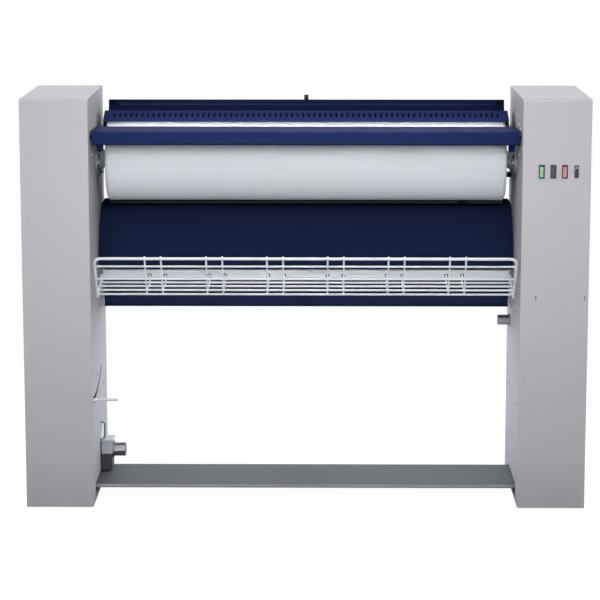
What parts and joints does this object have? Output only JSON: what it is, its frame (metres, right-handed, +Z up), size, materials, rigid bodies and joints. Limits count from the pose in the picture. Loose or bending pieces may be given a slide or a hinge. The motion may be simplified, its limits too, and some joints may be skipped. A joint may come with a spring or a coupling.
{
  "type": "chest ironer",
  "caption": "Chest ironer: padded roller turning in a heated chest between cabinet columns, with tilting feed board, perforated hood, chute, wire basket and foot plate.",
  "frame": {"origin": "on the floor below the middle of the machine's width and depth", "axes": "+X to the operator's right along the roller, +Y from front to rear, +Z up"},
  "size_m": [1.468, 0.43, 1.08],
  "materials": {
    "shell": "light grey stove enamel, satin",
    "navy": "dark blue paint, satin",
    "padding": "white woven cotton cover over padding",
    "steel": "bare steel, lightly brushed",
    "element": "heat darkened tube",
    "zinc": "zinc plated, dull",
    "chrome": "polished chrome",
    "chest": "dark polished ironing face, darkened back",
    "white_coat": "white plastic coated steel, satin",
    "white_plastic": "white, satin",
    "black_plastic": "black, fine grain",
    "black_rubber": "black rubber sheath",
    "dark_steel": "black",
    "plate": "mid grey paint, satin",
    "castings": "bare casting",
    "box_grey": "galvanised sheet",
    "mat": "mineral fibre board",
    "green_plastic": "light green, translucent look",
    "grey_plastic": "dark grey",
    "red_plastic": "rose red, translucent look"
  },
  "bodies": {
    "frame": {"left_inner_wall": "shell", "left_front_cover": "shell", "left_side_cover": "shell", "left_rear_cover": "shell", "right_inner_wall": "shell", "right_front_cover": "shell", "right_side_cover": "shell", "right_rear_cover": "shell", "rear_chest_cover": "navy", "hood": "navy", "chute_panel": "navy", "rear_lower_panel": "navy", "pressure_spring": "steel", "left_roller_bearing": "zinc", "right_roller_bearing": "zinc", "left_pivot_bush": "zinc", "right_pivot_bush": "zinc", "rear_cross_member": "zinc", "tie_beam": "zinc", "torque_arm": "zinc", "supply_block": "zinc", "cable_nipple": "zinc", "supply_spigot": "chrome", "chute_rail": "white_coat", "left_front_foot": "black_plastic", "left_rear_foot": "black_plastic", "right_front_foot": "black_plastic", "right_rear_foot": "black_plastic", "supply_base": "black_plastic", "green_switch_housing": "black_plastic", "black_switch_housing": "black_plastic", "red_switch_housing": "black_plastic", "selector_housing": "black_plastic", "supply_lead": "black_rubber", "left_board_pin": "dark_steel", "right_board_pin": "dark_steel", "gear_unit": "castings", "drive_motor": "castings", "control_box": "box_grey", "rear_insulation": "mat"},
    "roller": {"roller_padding": "padding", "roller_drum": "steel", "left_journal": "steel", "right_journal": "steel"},
    "chest": {"chest_plate": "chest", "chest_carrier": "steel", "heating_element": "element", "chest_pivot_shaft": "steel", "chest_crank": "zinc"},
    "feed_board": {"feed_board": "navy"},
    "release_lever": {"release_lever": "zinc", "lever_handle": "white_plastic"},
    "release_link": {"release_link": "zinc"},
    "foot_plate": {"foot_plate": "plate"},
    "wire_basket": {"wire_basket": "white_coat"},
    "green_rocker": {"green_rocker": "green_plastic"},
    "black_rocker": {"black_rocker": "grey_plastic"},
    "red_rocker": {"red_rocker": "red_plastic"},
    "selector": {"selector_knob": "grey_plastic"},
    "channel_knob": {"channel_knob": "black_plastic"}
  },
  "joints": [
    {"name": "roller_spin", "type": "hinge", "parent": "frame", "child": "roller", "pos_m": [0, 0.0641, 0.895], "axis": [1, 0, 0], "continuous": true},
    {"name": "chest_press", "type": "hinge", "parent": "frame", "child": "chest", "pos_m": [0, 0.18101, 0.9625], "axis": [1, 0, 0], "range_deg": [0, 2.2], "stiffness_Nm_per_rad": 2000, "springref_deg": -1.15, "deforming": ["pressure_spring"]},
    {"name": "feed_board_tilt", "type": "hinge", "parent": "frame", "child": "feed_board", "pos_m": [0, -0.15284, 0.97525], "axis": [1, 0, 0], "range_deg": [0, 10]},
    {"name": "release_lever_swing", "type": "hinge", "parent": "frame", "child": "release_lever", "pos_m": [-0.565, -0.12, 0.686], "axis": [1, 0, 0], "range_deg": [0, 36]},
    {"name": "release_link_swing", "type": "hinge", "parent": "release_lever", "child": "release_link", "pos_m": [-0.58, -0.13126, 0.69015], "axis": [1, 0, 0], "range_deg": [-35.8, 0]},
    {"name": "foot_plate_press", "type": "hinge", "parent": "frame", "child": "foot_plate", "pos_m": [0, 0.123, 0.0754], "axis": [1, 0, 0], "range_deg": [0, 2.8], "stiffness_Nm_per_rad": 80, "springref_deg": -8.59},
    {"name": "basket_tilt", "type": "hinge", "parent": "frame", "child": "wire_basket", "pos_m": [0, -0.02, 0.5925], "axis": [1, 0, 0], "range_deg": [-30, 0]},
    {"name": "green_rocker_press", "type": "hinge", "parent": "frame", "child": "green_rocker", "pos_m": [0.607, -0.2056, 0.89475], "axis": [1, 0, 0], "range_deg": [-14, 0], "stiffness_Nm_per_rad": 0.05, "springref_deg": 11.46},
    {"name": "black_rocker_press", "type": "hinge", "parent": "frame", "child": "black_rocker", "pos_m": [0.6368, -0.2056, 0.89475], "axis": [1, 0, 0], "range_deg": [-14, 0], "stiffness_Nm_per_rad": 0.05, "springref_deg": 11.46},
    {"name": "red_rocker_press", "type": "hinge", "parent": "frame", "child": "red_rocker", "pos_m": [0.6666, -0.2056, 0.89475], "axis": [1, 0, 0], "range_deg": [-14, 0], "stiffness_Nm_per_rad": 0.05, "springref_deg": 11.46},
    {"name": "selector_slide", "type": "slide", "parent": "frame", "child": "selector", "axis": [0, 0, 1], "range_m": [-0.02, 0]},
    {"name": "knob_turn", "type": "hinge", "parent": "frame", "child": "channel_knob", "pos_m": [0, 0.19495, 1.05], "axis": [0, 0, 1], "range_deg": [-180, 180]}
  ],
  "couplings": [
    {"joint": "release_lever_swing", "follows": "chest_press", "ratio": 16.359},
    {"joint": "release_link_swing", "follows": "chest_press", "ratio": -16.213}
  ]
}
